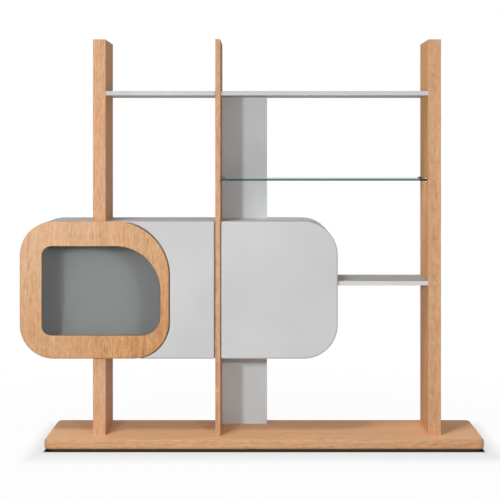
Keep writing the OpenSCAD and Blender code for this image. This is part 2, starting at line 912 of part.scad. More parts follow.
module hinge_plates() {
    color(steel) {
        for (z = side_hinge_zs) {
            at_hinge(left_x, 1, z) hinge_plate(wall_t);
            at_hinge(right_x, -1, z) hinge_plate(wall_t);
        }
        for (z = middle_hinge_zs) at_hinge(middle_right, -1, z) hinge_plate(middle_wall_u);
    }
}

module hinge_plate_screws() {
    color(steel) {
        plate_screws_in(side_hinge_zs, left_x, 1, wall_t, 0);
        plate_screws_in(side_hinge_zs, right_x, -1, wall_t, 0);
        plate_screws_in(middle_hinge_zs, middle_right, -1, middle_wall_u, 0);
    }
}

// Push latches

latch_front = wall_front + latch_recess;
plunger_tip = door_back + slack;

module latch_housings() {
    color(black) for (p = latches) difference() {
        translate([p.x - latch_w / 2, latch_front, p.y - latch_w / 2])
            cube([latch_w, latch_l, latch_w]);
        rod_y(p.x, p.y, latch_front - overrun,
            plunger_tip + plunger_l + latch_travel + plunger_tail_clear, latch_bore_r);
    }
}

module latch_plunger(p) {
    color(black) rod_y(p.x, p.y, plunger_tip, plunger_tip + plunger_l, plunger_r);
}

module glazed_latch_plunger() {
    latch_plunger(glazed_latch);
}

module middle_latch_plunger() {
    latch_plunger(middle_latch);
}

module right_latch_plunger() {
    latch_plunger(right_latch);
}

// Striker plates are let into the doors' backs, so that they lie flush
module striker(p, grow) {
    rod_y(p.x, p.y, door_back - striker_t - grow, door_back, striker_r + grow);
}

// Doors

module glazed_outline_board(by) {
    soft_board([left_x - by, cabinet_z - by], [glazed_right + by, cabinet_top + by],
        grown(glazed_radii, by), door_t, door_edge_r, 0);
}

module glazed_door_frame() {
    color(oak) difference() {
        upright(door_back) difference() {
            glazed_outline_board(0);
            soft_hole(opening_lo, opening_hi, opening_radii, door_t, opening_edge_r);
            translate([0, 0, -overrun]) linear_extrude(rebate_d + overrun)
                soft_outline(opening_lo - [rebate_lap, rebate_lap],
                    opening_hi + [rebate_lap, rebate_lap], grown(opening_radii, rebate_lap));
        }
        cup_seats(left_x, 1, side_hinge_zs);
        striker(glazed_latch, running);
    }
}

module door_glass() {
    color(glass) upright(door_back - rebate_d + pane_t) linear_extrude(pane_t)
        soft_outline(opening_lo - [pane_lap, pane_lap], opening_hi + [pane_lap, pane_lap],
            grown(opening_radii, pane_lap));
}

module glass_bead() {
    bead_t = rebate_d - pane_t;
    color(black) upright(door_back) linear_extrude(bead_t) difference() {
        soft_outline(opening_lo - [pane_lap, pane_lap], opening_hi + [pane_lap, pane_lap],
            grown(opening_radii, pane_lap));
        soft_outline(opening_lo - [slack, slack], opening_hi + [slack, slack],
            grown(opening_radii, slack));
    }
}

module glazed_door_cups() {
    door_cups(left_x, 1, side_hinge_zs);
}

module glazed_door_screws() {
    door_screws(left_x, 1, side_hinge_zs);
}

module glazed_door_striker() {
    color(steel) striker(glazed_latch, 0);
}

// The middle door's free edge runs parallel to the glazed door's outline
module middle_door() {
    color(lacquer) difference() {
        upright(door_back) difference() {
            soft_board([glazed_right - middle_tip_share * glazed_top_r, cabinet_z],
                [middle_right, cabinet_top], [small_r, small_r, small_r, small_r], door_t,
                door_edge_r, 0);
            soft_hole([left_x - door_joint, cabinet_z - door_joint],
                [glazed_right + door_joint, cabinet_top + door_joint],
                grown(glazed_radii, door_joint), door_t, door_edge_r);
        }
        cup_seats(middle_right, -1, middle_hinge_zs);
        striker(middle_latch, running);
    }
}

module middle_door_cups() {
    door_cups(middle_right, -1, middle_hinge_zs);
}

module middle_door_screws() {
    door_screws(middle_right, -1, middle_hinge_zs);
}

module middle_door_striker() {
    color(steel) striker(middle_latch, 0);
}

module right_door() {
    color(lacquer) difference() {
        upright(door_back)
            soft_board([right_door_left, cabinet_z], [right_x, cabinet_top],
                [small_r, cabinet_r, cabinet_r, small_r], door_t, door_edge_r, 0);
        cup_seats(right_x, -1, side_hinge_zs);
        striker(right_latch, running);
    }
}

module right_door_cups() {
    door_cups(right_x, -1, side_hinge_zs);
}

module right_door_screws() {
    door_screws(right_x, -1, side_hinge_zs);
}

module right_door_striker() {
    color(steel) striker(right_latch, 0);
}

plinth_board();
base_slab();
left_post_lower();
left_post_upper();
centre_panel();
right_post();
spine_lower();
spine_upper();
top_shelf_left();
top_shelf_right();
side_shelf();
glass_shelf();
glass_clamps();
clamp_pads();
left_cabinet_shell();
left_cabinet_side();
left_cabinet_divider();
left_cabinet_back();
right_cabinet_shell();
right_cabinet_side();
right_cabinet_back();
right_cabinet_shelf();
shelf_pins();
base_bolts();
cabinet_bolts();
connecting_bolts();
shelf_dowels();
spine_dowels();
wall_dowels();
hinge_plates();
hinge_plate_screws();
latch_housings();
glazed_door_frame();
door_glass();
glass_bead();
glazed_door_cups();
glazed_door_screws();
glazed_door_striker();
middle_door();
middle_door_cups();
middle_door_screws();
middle_door_striker();
right_door();
right_door_cups();
right_door_screws();
right_door_striker();
glazed_latch_plunger();
middle_latch_plunger();
right_latch_plunger();
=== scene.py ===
"""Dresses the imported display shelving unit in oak, lacquer and glass, and lights its studio."""

import json
import math

import bmesh
import bpy
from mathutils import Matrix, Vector

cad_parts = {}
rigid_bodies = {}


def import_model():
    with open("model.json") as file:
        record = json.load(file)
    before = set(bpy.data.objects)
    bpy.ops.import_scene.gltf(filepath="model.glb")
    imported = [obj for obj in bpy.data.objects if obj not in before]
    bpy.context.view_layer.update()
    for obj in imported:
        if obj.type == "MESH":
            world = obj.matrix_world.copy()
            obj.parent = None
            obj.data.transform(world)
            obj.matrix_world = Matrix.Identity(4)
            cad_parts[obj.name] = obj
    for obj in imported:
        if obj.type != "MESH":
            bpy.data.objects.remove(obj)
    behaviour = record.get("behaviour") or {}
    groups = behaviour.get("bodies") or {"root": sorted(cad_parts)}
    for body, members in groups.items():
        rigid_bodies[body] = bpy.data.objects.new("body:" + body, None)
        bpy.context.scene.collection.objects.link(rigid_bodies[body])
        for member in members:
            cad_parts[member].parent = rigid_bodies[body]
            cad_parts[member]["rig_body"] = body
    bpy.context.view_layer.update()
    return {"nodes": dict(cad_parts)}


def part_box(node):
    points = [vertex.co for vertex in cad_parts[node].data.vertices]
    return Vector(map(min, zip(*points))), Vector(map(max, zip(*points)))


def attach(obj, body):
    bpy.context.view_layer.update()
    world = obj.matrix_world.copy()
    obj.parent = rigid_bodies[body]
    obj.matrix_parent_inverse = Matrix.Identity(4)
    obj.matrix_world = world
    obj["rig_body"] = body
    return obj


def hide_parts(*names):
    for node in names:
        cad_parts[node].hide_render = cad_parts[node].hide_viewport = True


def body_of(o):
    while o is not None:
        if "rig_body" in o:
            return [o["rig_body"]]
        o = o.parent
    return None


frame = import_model()

bl_info = {
    "name": "Display shelving unit",
    "version": (1, 0, 0),
    "blender": (4, 5, 0),
    "location": "View3D > Sidebar > Shelving",
    "description": "Finishes the shelving unit's boards, doors, glass and fittings, and lights it",
    "category": "Object",
}

# The nodes that share a finish
LACQUERED = [
    "left_cabinet_side", "right_cabinet_shell", "right_cabinet_side", "right_cabinet_back",
    "right_cabinet_shelf", "middle_door", "right_door",
]
STEEL = [
    "shelf_pins", "base_bolts", "cabinet_bolts", "connecting_bolts",
    "hinge_plates", "hinge_plate_screws", "glazed_door_cups", "glazed_door_screws",
    "glazed_door_striker", "middle_door_cups", "middle_door_screws", "middle_door_striker",
    "right_door_cups", "right_door_screws", "right_door_striker",
]
PLASTIC = [
    "latch_housings", "glass_bead", "glazed_latch_plunger", "middle_latch_plunger",
    "right_latch_plunger",
]
DOWELS = ["shelf_dowels", "spine_dowels", "wall_dowels"]
SCREWS = ["hinge_plate_screws", "glazed_door_screws", "middle_door_screws", "right_door_screws"]
BOLTS = ["cabinet_bolts", "connecting_bolts"]
CABINET_BEND = 0.15  # outer radius of the cabinet shells' corners
WALL = 0.02  # thickness of the shells
WHITE = (1.0, 1.0, 1.0, 1.0)
BLACK = (0.0, 0.0, 0.0, 1.0)


def linear(red, green, blue):
    """A colour written as it shows on a screen, 0 to 255, turned to Blender's linear values."""
    out = []
    for value in (red, green, blue):
        share = value / 255
        out.append(share / 12.92 if share <= 0.04045 else ((share + 0.055) / 1.055) ** 2.4)
    return tuple(out)


def opaque(colour):
    return (colour[0], colour[1], colour[2], 1.0)


def times(colour, share):
    return tuple(share * value for value in colour)


# Shader maths


class Wire:
    """A socket of a material. Python's operators on it add Math nodes."""

    def __init__(self, look, socket):
        self.look = look
        self.socket = socket

    def maths(self, operation, *values):
        return self.look.node(
            "ShaderNodeMath", {"operation": operation}, dict(enumerate(values))
        )

    def __add__(self, other):
        return self.maths("ADD", self, other)

    def __radd__(self, other):
        return self.maths("ADD", other, self)

    def __sub__(self, other):
        return self.maths("SUBTRACT", self, other)

    def __rsub__(self, other):
        return self.maths("SUBTRACT", other, self)

    def __mul__(self, other):
        return self.maths("MULTIPLY", self, other)

    def __rmul__(self, other):
        return self.maths("MULTIPLY", other, self)

    def __truediv__(self, other):
        return self.maths("DIVIDE", self, other)

    def __pow__(self, other):
        return self.maths("POWER", self, other)

    def whole(self):
        return self.maths("FLOOR", self)

    def fraction(self):
        return self.maths("FRACT", self)

    def size(self):
        return self.maths("ABSOLUTE", self)

    def most(self, other):
        return self.maths("MAXIMUM", self, other)

    def least(self, other):
        return self.maths("MINIMUM", self, other)

    def step(self, low, high):
        """0 up to low, 1 from high, and smooth between."""
        return self.look.node(
            "ShaderNodeMapRange",
            {"interpolation_type": "SMOOTHSTEP"},
            {"Value": self, "From Min": low, "From Max": high},
        )


class Look:
    """One material, with what its nodes are made by."""

    def __init__(self, name, owner=None):
        self.owner = owner or bpy.data.materials.new(name)
        self.owner.use_nodes = True
        self.tree = self.owner.node_tree
        self.tree.nodes.clear()

    def node(self, kind, settings=None, inputs=None, output=0):
        made = self.tree.nodes.new(kind)
        for name, value in (settings or {}).items():
            if name == "stops":
                self.set_stops(made.color_ramp, value)
            else:
                setattr(made, name, value)
        for name, value in (inputs or {}).items():
            if isinstance(value, Wire):
                self.tree.links.new(value.socket, made.inputs[name])
            else:
                made.inputs[name].default_value = value
        return Wire(self, made.outputs[output])

    def set_stops(self, ramp, stops):
        while len(ramp.elements) < len(stops):
            ramp.elements.new(1.0)
        for element, (place, colour) in zip(ramp.elements, stops):
            element.position = place
            element.color = opaque(colour)

    def place(self):
        """The three object coordinates, in metres."""
        spot = self.node("ShaderNodeTexCoord", output="Object")
        return [self.node("ShaderNodeSeparateXYZ", inputs={0: spot}, output=k) for k in range(3)]

    def spot(self, x, y, z):
        return self.node("ShaderNodeCombineXYZ", inputs={0: x, 1: y, 2: z})

    def noise(self, spot, detail=2.0, roughness=0.5):
        return self.node(
            "ShaderNodeTexNoise",
            {"noise_dimensions": "3D"},
            {"Vector": spot, "Scale": 1.0, "Detail": detail, "Roughness": roughness},
        )

    def chance(self, value):
        """A number from 0 to 1 that is different for each whole value."""
        return self.node("ShaderNodeTexWhiteNoise", {"noise_dimensions": "1D"}, {"W": value})

    def cells(self, place, count, detail):
        """Noise with so many cells a metre every way."""
        return self.noise(self.spot(*(value * count for value in place)), detail)

    def blend(self, share, first, second, mode="MIX"):
        return self.node(
            "ShaderNodeMix",
            {"data_type": "RGBA", "blend_type": mode},
            {0: share, 6: first, 7: second},
            output=2,
        )

    def mix(self, share, first, second):
        return self.node("ShaderNodeMixShader", inputs={0: share, 1: first, 2: second})

    def ramp(self, value, stops):
        return self.node("ShaderNodeValToRGB", {"stops": stops}, {0: value})

    def relief(self, height, strength, distance):
        return self.node(
            "ShaderNodeBump",
            inputs={"Height": height, "Strength": strength, "Distance": distance},
        )

    def surface(self, inputs):
        return self.node("ShaderNodeBsdfPrincipled", inputs=inputs)

    def finish(self, shader, kind="ShaderNodeOutputMaterial"):
        end = self.tree.nodes.new(kind)
        self.tree.links.new(shader.socket, end.inputs["Surface"])
        return self.owner


def put_on(nodes, material):
    """Gives CAD nodes the material in place of the ones they came with."""
    for name in nodes:
        slots = frame["nodes"][name].data.materials
        slots.clear()
        slots.append(material)


def on_low(value, face, near=0.0004, far=0.001):
    """1 on a board's face at the low end of x, y or z, and 0 further in than far."""
    return 1.0 - value.step(face + near, face + far)


def on_high(value, face, near=0.0004, far=0.001):
    """1 on a board's face at the high end of x, y or z, and 0 further in than far."""
    return value.step(face - far, face - near)


# Finishes


class OakFinish(bpy.types.PropertyGroup):
    light: bpy.props.FloatVectorProperty(
        name="Light wood", description="Colour of the palest early wood",
        subtype="COLOR", default=linear(224, 182, 143), min=0, max=1,
    )
    middle: bpy.props.FloatVectorProperty(
        name="Middle wood", description="Colour of most of the oak",
        subtype="COLOR", default=linear(206, 161, 122), min=0, max=1,
    )
    dark: bpy.props.FloatVectorProperty(
        name="Dark wood", description="Colour of late wood and pores",
        subtype="COLOR", default=linear(166, 116, 77), min=0, max=1,
    )
    ring_width: bpy.props.FloatProperty(
        name="Ring width", description="Width of one year's growth",
        unit="LENGTH", default=0.006, min=0.002, max=0.02,
    )
    leaf_width: bpy.props.FloatProperty(
        name="Leaf width", description="Width of one leaf of veneer or one stave",
        unit="LENGTH", default=0.056, min=0.02, max=0.3,
    )
    roughness: bpy.props.FloatProperty(
        name="Roughness", description="Dullness of the oiled surface",
        default=0.66, min=0.2, max=0.9,
    )


# How far each part of the oak's figure moves its tone, where 0 is dark and 1 is light wood
BODY_TONE = 0.6
LATE_TONE = -0.36
FLECK_TONE = 0.42
# Painted light: how far the tone is lifted where light is painted onto the oak
PAINTED_LIGHT_TONE = 0.5
TONE_SPREAD = {"broad": 0.5, "fibre": 0.8, "fine": 0.4, "mottle": 1.1, "leaf": 0.12}
BLUSH = (1.02, 0.955, 0.95)  # colour of the redder patches in the oil


def oak(
    name, along, seed, heart, tint, cast=(1.0, 1.0, 1.0), gloss=0.12, pale=None, painted_light_cast=None
):
    """Oiled oak with its grain along one axis.

    seed moves the figure, and heart is how far behind the face the flat-sawn leaves' centre lies.
    tint lifts the wood's tone and cast is how the oil changes each colour. pale(x, y, z) is 1
    where light is painted on: there the wood is painted lighter, as if lit more, and the oil has
    the painted light's colour.
    """
    wood = bpy.context.scene.shelving_oak
    look = Look(name)
    x, y, z = look.place()
    across, depth, length = (x, y, z) if along == "z" else (y, z, x)

    def figure(wide, long, detail, roughness=0.5, side=None, back=None, end=None):
        """Noise with so many cells a metre over and along the grain, moved side, back or end."""
        spot = [across * wide, depth * wide, length * long]
        for k, move in enumerate((side, back, end)):
            if move is not None:
                spot[k] = spot[k] + move
        return look.noise(look.spot(*spot), detail, roughness)

    # Leaves side by side, each cut from its own place in the log
    leaf = (across / wood.leaf_width + seed).whole()
    luck = look.chance(leaf + seed * 7.0)
    luck_too = look.chance(leaf + seed * 3.0 + 40.0)
    middle = across - (leaf + (0.5 - seed)) * wood.leaf_width
    wander = figure(6.0, 2.2, 3.0, back=luck * 30.0)
    waver = figure(40.0, 9.0, 2.0, end=luck * 8.0)
    sideways = middle + (luck - 0.5) * 0.22 + (wander - 0.5) * 0.03 + (waver - 0.5) * 0.003
    lean = (luck_too - 0.5) * 0.1
    inwards = depth * 0.5 + heart + lean * length + (wander - 0.5) * 0.04

    # Rings, whose late wood is dark
    radius = (sideways * sideways + inwards * inwards) ** 0.5
    year = radius / wood.ring_width + luck * 9.0
    phase = year.fraction()
    weight = look.chance(year.whole() + 11.0)
    late = phase.step(0.3, 0.85) * (1.0 - phase.step(0.88, 1.0)) * (0.3 + weight * 0.7)

    # Fibres, ray flecks and pores
    broad = figure(26.0, 0.9, 2.0, end=seed)
    blush = figure(24.0, 5.0, 2.0, end=seed * 9.0).step(0.38, 0.64)
    mottle = figure(85.0, 24.0, 3.0, 0.6, end=seed * 5.0)
    fibre = figure(190.0, 7.0, 3.0, 0.62)
    fine = figure(900.0, 14.0, 2.0)
    flecks = figure(210.0, 42.0, 2.0, side=wander * 9.0).step(0.56, 0.72)
    pores = figure(2300.0, 60.0, 1.0).step(0.56, 0.66) * (1.0 - late * 0.7)

    parts = {"broad": broad, "fibre": fibre, "fine": fine, "mottle": mottle, "leaf": luck}
    tone = BODY_TONE + tint + late * LATE_TONE + flecks * FLECK_TONE
    for part, spread in TONE_SPREAD.items():
        tone = tone + (parts[part] - 0.5) * spread
    oil = opaque(cast)
    # Painted light: where pale() is 1 the wood is painted lighter, as if lit more, and the oil
    # takes the painted light's colour
    if pale:
        share = pale(x, y, z)
        tone = tone + share * PAINTED_LIGHT_TONE
        oil = look.blend(share, opaque(cast), opaque(painted_light_cast))
    oil = look.blend(blush, oil, opaque(BLUSH), "MULTIPLY")
    colour = look.ramp(tone, [(0.0, wood.dark), (0.5, wood.middle), (1.0, wood.light)])
    colour = look.blend(pores * 0.45, colour, opaque(wood.dark))
    colour = look.blend(1.0, colour, oil, "MULTIPLY")
    height = fibre * 0.35 + fine * 0.35 - pores * 0.6 - late * 0.2
    return look.finish(look.surface({
        "Base Color": colour,
        "Roughness": wood.roughness + (fibre - 0.5) * 0.14 + pores * 0.12,
        "Normal": look.relief(height, 0.3, 0.0003),
        "Specular IOR Level": gloss,
    }))


def base_top_painted_light(x, y, z):
    """Painted light: the base slab's upper face is painted lighter, as lit, most near its two
    ends.
    """
    top = on_high(z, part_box("base_slab")[1].z, near=0.0005, far=0.0015)
    return top * (0.66 + x.size().step(0.55, 0.85) * 0.34)


def left_post_painted_light(x, y, z):
    """Painted light: the left post's side towards the panel is painted lighter, as lit, most at
    the top.
    """
    return on_high(x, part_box("left_post_upper")[1].x) * z.step(0.9, 1.7)


def right_post_painted_light(x, y, z):
    """Painted light: the right post's side towards the panel is painted lighter, as lit from the
    left, most at the top.
    """
    return on_low(x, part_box("right_post")[0].x) * (0.5 + z.step(0.5, 1.7) * 0.5)


def door_frame_painted_sheen(x, y, z):
    """Painted sheen: the glazed door's frame is painted lighter, as lit, most at its upper left
    corner.
    """
    low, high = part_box("glazed_door_frame")
    return (1.0 - x.step(low.x, high.x) + z.step(low.z, high.z)) * 0.35


class LacquerFinish(bpy.types.PropertyGroup):
    colour: bpy.props.FloatVectorProperty(
        name="Lacquer", description="Colour of the sprayed boards and doors",
        subtype="COLOR", default=linear(205, 205, 205), min=0, max=1,
    )
    shade: bpy.props.FloatVectorProperty(
        name="Shade", description="Colour that the lacquer drifts towards",
        subtype="COLOR", default=linear(198, 198, 198), min=0, max=1,
    )
    roughness: bpy.props.FloatProperty(
        name="Roughness", description="Dullness of the satin lacquer",
        default=0.5, min=0.1, max=0.9,
    )
    # Painted shade: the niche's inner walls are painted darker than the lacquer, as shade
    niche_wall_painted_shade: bpy.props.FloatVectorProperty(
        name="Painted niche shade", description="Darker colour inside the niche behind the glass",
        subtype="COLOR", default=linear(112, 111, 110), min=0, max=1,
    )
    # Painted shade: the niche's back is painted darker than the lacquer, as shade
    niche_back_painted_shade: bpy.props.FloatVectorProperty(
        name="Niche back", description="Colour of the board at the back of the niche",
        subtype="COLOR", default=linear(176, 176, 176), min=0, max=1,
    )
    # Painted shade: the side shelf's upper face is painted darker, as shade
    painted_top_shade: bpy.props.FloatVectorProperty(
        name="Painted top shade", description="Colour of the side shelf's upper face, painted darker as shade",
        subtype="COLOR", default=linear(181, 179, 176), min=0, max=1,
    )
    # Painted shade: the top shelf's underside is painted darker and warmer, as shade with warm
    # light thrown up from the oak
    painted_underside_shade: bpy.props.FloatVectorProperty(
        name="Painted underside shade", description="Colour of the painted shade under the top shelf",
        subtype="COLOR", default=linear(190, 176, 168), min=0, max=1,
    )
    peel: bpy.props.FloatProperty(
        name="Peel", description="Depth of the sprayed surface's fine ripple",
        unit="LENGTH", default=0.00006, min=0, max=0.001,
    )


def lacquer(name, inside=None, painted_shade_colour=None, painted_light_factors=(1.0, 1.0, 1.0)):
    """Satin lacquer.

    inside(x, y, z) is 1 on the faces whose colour is painted shade, and the last argument scales
    each colour of this copy of the paint to paint light or shade onto it.
    """
    paint = bpy.context.scene.shelving_lacquer
    look = Look(name)
    place = look.place()
    cloud = look.cells(place, 3.0, 3.0)
    ripple = look.cells(place, 420.0, 1.0)
    grit = look.cells(place, 1800.0, 1.0)
    # Painted light: the factors scale each colour, making lit or shaded copies of this lacquer
    first, second = (
        tuple(share * value for share, value in zip(painted_light_factors, tone))
        for tone in (paint.colour, paint.shade)
    )
    colour = look.blend(cloud.step(0.3, 0.7), opaque(first), opaque(second))
    # Painted shade: the masked faces take a darker colour
    if inside:
        colour = look.blend(inside(*place), colour, opaque(painted_shade_colour))
    return look.finish(look.surface({
        "Base Color": colour,
        "Roughness": paint.roughness + (cloud - 0.5) * 0.06 + (grit - 0.5) * 0.08,
        "Normal": look.relief(ripple + grit * 0.3, 0.2, paint.peel),
        "Specular IOR Level": 0.1,
    }))


def in_niche(x):
    """1 as far as the divider between the niche and the middle compartment."""
    return on_low(x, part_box("left_cabinet_divider")[0].x, near=0.0, far=0.0005)


def shell_painted_shade_mask(x, y, z):
    """Painted shade: the inner face of the left cabinet's bent shell, as far as the divider,
    painted darker.
    """
    low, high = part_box("left_cabinet_shell")
    middle = (low.z + high.z) / 2
    left = (low.x + CABINET_BEND - x).most(0.0)
    rise = ((z - middle).size() - ((high.z - low.z) / 2 - CABINET_BEND)).most(0.0)
    out = (left * left + rise * rise) ** 0.5
    within = 1.0 - out.step(CABINET_BEND - WALL * 0.6, CABINET_BEND - WALL * 0.4)
    edges = on_low(y, low.y).most(on_high(y, high.y))
    return within * (1.0 - edges) * in_niche(x)


def divider_painted_shade_mask(x, y, z):
    """Painted shade: the divider's face towards the niche, painted darker."""
    return on_low(x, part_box("left_cabinet_divider")[0].x, near=0.0002, far=0.0006)


def back_painted_shade_mask(x, y, z):
    """Painted shade: the front of the back board, as far as the divider, painted darker."""
    return on_low(y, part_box("left_cabinet_back")[0].y, near=0.0002, far=0.0006) * in_niche(x)


def side_shelf_painted_shade_mask(x, y, z):
    """Painted shade: the side shelf's upper face, painted darker."""
    return on_high(z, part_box("side_shelf")[1].z, far=0.0012)


def top_shelf_painted_shade_mask(x, y, z):
    """Painted shade: the top shelf's lower face, painted darker and warmer."""
    return on_low(z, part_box("top_shelf_right")[0].z, far=0.0012)


class GlassFinish(bpy.types.PropertyGroup):
    shelf: bpy.props.FloatVectorProperty(
        name="Shelf", description="Tint seen straight through the clear shelf",
        subtype="COLOR", default=(0.97, 0.99, 0.98), min=0, max=1,
    )
    pane: bpy.props.FloatVectorProperty(
        name="Pane", description="Tint seen straight through the door's lightly smoked pane",
        subtype="COLOR", default=(0.79, 0.80, 0.80), min=0, max=1,
    )
    edge: bpy.props.FloatVectorProperty(
        name="Edge", description="Green of a polished edge",
        subtype="COLOR", default=(0.35, 0.5, 0.47), min=0, max=1,
    )
    # Painted shade: the edge in front of the board is painted a darker green, as shade
    deep: bpy.props.FloatVectorProperty(
        name="Deep edge", description="Darker green of an edge with a board behind it",
        subtype="COLOR", default=linear(46, 80, 73), min=0, max=1,
    )
    edge_depth: bpy.props.FloatProperty(
        name="Edge depth", description="How far in from its edge a pane looks green",
        unit="LENGTH", default=0.0015, min=0.0002, max=0.01,
    )


def glass(name, node, tint, bending, board=None):
    """Glass with green cut edges, which are found from the box of the node that it is put on.

    bending is its index of refraction, which is low where a coating keeps reflections off. Up to
    board in X, an upright board stands behind the glass, and there the edge is painted darker
    green as shade.
    """
    pane = bpy.context.scene.shelving_glass
    low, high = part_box(node)
    size = high - low
    look = Look(name)
    place = look.place()
    thin = min(range(3), key=lambda k: size[k])
    edges = []
    for k in range(3):
        if k != thin:
            half = size[k] / 2
            out = (place[k] - (low[k] + half)).size()
            edges.append(out.step(half - pane.edge_depth, half - pane.edge_depth * 0.4))
    smear = look.cells(place, 9.0, 2.0)
    body = look.surface({
        "Base Color": look.blend(smear, opaque(tint), opaque(times(tint, 0.98))),
        "Roughness": (smear - 0.5).most(0.0) * 0.03,
        "Transmission Weight": 1.0,
        "IOR": bending,
        "Specular IOR Level": 0.1,
    })
    shadow = tuple(0.96 * value ** 0.5 for value in tint)
    clear = look.node("ShaderNodeBsdfTransparent", inputs={"Color": opaque(shadow)})
    cut = look.node("ShaderNodeBsdfTransparent", inputs={"Color": opaque(pane.edge)})
    # Painted shade: a matt dark green on the edge in front of the board
    if board is not None:
        deep = look.node("ShaderNodeBsdfDiffuse", inputs={"Color": opaque(pane.deep)})
        painted_shade_before_board = 1.0 - place[0].step(board - 0.002, board + 0.002)
        cut = look.mix(painted_shade_before_board * 0.9, cut, deep)
    body = look.mix(edges[0].most(edges[1]), body, cut)
    lamp_ray = look.node("ShaderNodeLightPath", output="Is Shadow Ray")
    return look.finish(look.mix(lamp_ray, body, clear))


class FittingFinish(bpy.types.PropertyGroup):
    steel: bpy.props.FloatVectorProperty(
        name="Steel", description="Colour of the nickelled steel",
        subtype="COLOR", default=linear(196, 196, 194), min=0, max=1,
    )
    clamp: bpy.props.FloatVectorProperty(
        name="Clamp", description="Colour of the dark nickelled glass clamps",
        subtype="COLOR", default=linear(128, 118, 112), min=0, max=1,
    )
    plastic: bpy.props.FloatVectorProperty(
        name="Plastic", description="Colour of the moulded latch parts",
        subtype="COLOR", default=linear(34, 34, 36), min=0, max=1,
    )
    board: bpy.props.FloatVectorProperty(
        name="Plinth board", description="Colour of the dark board under the base",
        subtype="COLOR", default=linear(48, 42, 38), min=0, max=1,
    )
    dowel: bpy.props.FloatVectorProperty(
        name="Dowel", description="Colour of the beech dowels",
        subtype="COLOR", default=linear(214, 178, 138), min=0, max=1,
    )


def brushed_steel(name, steel):
    """Nickelled steel, brushed along X."""
    look = Look(name)
    x, y, z = place = look.place()
    brush = look.noise(look.spot(x * 90.0, y * 2600.0, z * 2600.0), 2.0)
    stain = look.cells(place, 60.0, 2.0)
    return look.finish(look.surface({
        "Base Color": look.blend(stain, opaque(steel), opaque(times(steel, 0.82))),
        "Metallic": 1.0,
        "Roughness": 0.26 + (brush - 0.5) * 0.2,
        "Normal": look.relief(brush, 0.2, 0.00004),
    }))


def moulded(name, colour, roughness, grain):
    """Moulded plastic or rubber with an eroded surface of so many grains a metre."""
    look = Look(name)
    pits = look.cells(look.place(), grain, 2.0)
    paler = tuple(min(1.0, 1.6 * value + 0.004) for value in colour)
    return look.finish(look.surface({
        "Base Color": look.blend(pits * 0.5, opaque(colour), opaque(paler)),
        "Roughness": roughness + (pits - 0.5) * 0.2,
        "Normal": look.relief(pits, 0.35, 0.00008),
    }))


def fine_wood(name, colour, fibres):
    """Close-grained wood or board with so many fibres a metre, which run along X."""
    look = Look(name)
    x, y, z = look.place()
    fibre = look.noise(look.spot(x * 30.0, y * fibres, z * fibres), 3.0)
    return look.finish(look.surface({
        "Base Color": look.blend(fibre, opaque(times(colour, 0.7)), opaque(colour)),
        "Roughness": 0.6 + (fibre - 0.5) * 0.2,
        "Normal": look.relief(fibre, 0.3, 0.0002),
    }))


class SHELVING_OT_finish_oak(bpy.types.Operator):
    """Puts oak on the base, posts, panel and the glazed door's frame"""

    bl_idname = "shelving.finish_oak"
    bl_label = "Finish oak"

    def execute(self, context):
        # Painted light goes on the base's top, the posts' sides towards the panel and the door
        # frame's upper left
        put_on(["base_slab"], oak(
            "base_oak", "x", seed=0.31, heart=0.05, tint=0.08, cast=(0.98, 0.92, 0.81),
            gloss=0.5, pale=base_top_painted_light, painted_light_cast=(1.31, 1.23, 1.1),
        ))
        put_on(["left_post_lower", "left_post_upper"], oak(
            "left_post_oak", "z", seed=0.12, heart=0.06, tint=0.08, cast=(1.01, 1.0, 1.02),
            pale=left_post_painted_light, painted_light_cast=(1.04, 0.94, 0.88),
        ))
        put_on(["centre_panel"], oak(
            "panel_oak", "z", seed=0.67, heart=0.05, tint=0.08, cast=(0.98, 0.97, 0.98),
        ))
        put_on(["right_post"], oak(
            "right_post_oak", "z", seed=0.45, heart=0.06, tint=0.06, cast=(1.0, 0.99, 1.0),
            pale=right_post_painted_light, painted_light_cast=(1.206, 1.068, 0.804),
        ))
        put_on(["glazed_door_frame"], oak(
            "door_oak", "z", seed=0.23, heart=0.02, tint=-0.085, cast=(0.97, 0.907, 0.735),
            pale=door_frame_painted_sheen, painted_light_cast=(1.013, 1.108, 1.279),
        ))
        return {"FINISHED"}


class SHELVING_OT_finish_lacquer(bpy.types.Operator):
    """Puts satin lacquer on the cabinets, doors, shelves and the upright board"""

    bl_idname = "shelving.finish_lacquer"
    bl_label = "Finish lacquer"

    def execute(self, context):
        paint = context.scene.shelving_lacquer
        put_on(LACQUERED, lacquer("gray_lacquer"))
        # Painted light: the two spine boards get cooler copies of the lacquer, the lower one also
        # lighter, as lit
        put_on(["spine_lower"], lacquer("lower_spine_lacquer", painted_light_factors=(1.05, 1.15, 1.2)))
        put_on(["spine_upper"], lacquer("upper_spine_lacquer", painted_light_factors=(0.98, 1.02, 1.05)))
        # Painted light and shade: the side shelf's front is painted lighter and its top darker
        shelf = lacquer("side_shelf_lacquer", side_shelf_painted_shade_mask, paint.painted_top_shade, (1.14, 1.14, 1.13))
        put_on(["side_shelf"], shelf)
        # Painted shade under the top shelf
        under = lacquer("top_shelf_lacquer", top_shelf_painted_shade_mask, paint.painted_underside_shade)
        put_on(["top_shelf_left", "top_shelf_right"], under)
        # Painted shade inside the niche, on its walls and the divider's face
        shell = lacquer("shell_lacquer", shell_painted_shade_mask, paint.niche_wall_painted_shade)
        put_on(["left_cabinet_shell"], shell)
        divider = lacquer("divider_lacquer", divider_painted_shade_mask, paint.niche_wall_painted_shade)
        put_on(["left_cabinet_divider"], divider)
        # Painted shade on the back board's front within the niche
        back = lacquer("back_lacquer", back_painted_shade_mask, paint.niche_back_painted_shade)
        put_on(["left_cabinet_back"], back)
        return {"FINISHED"}


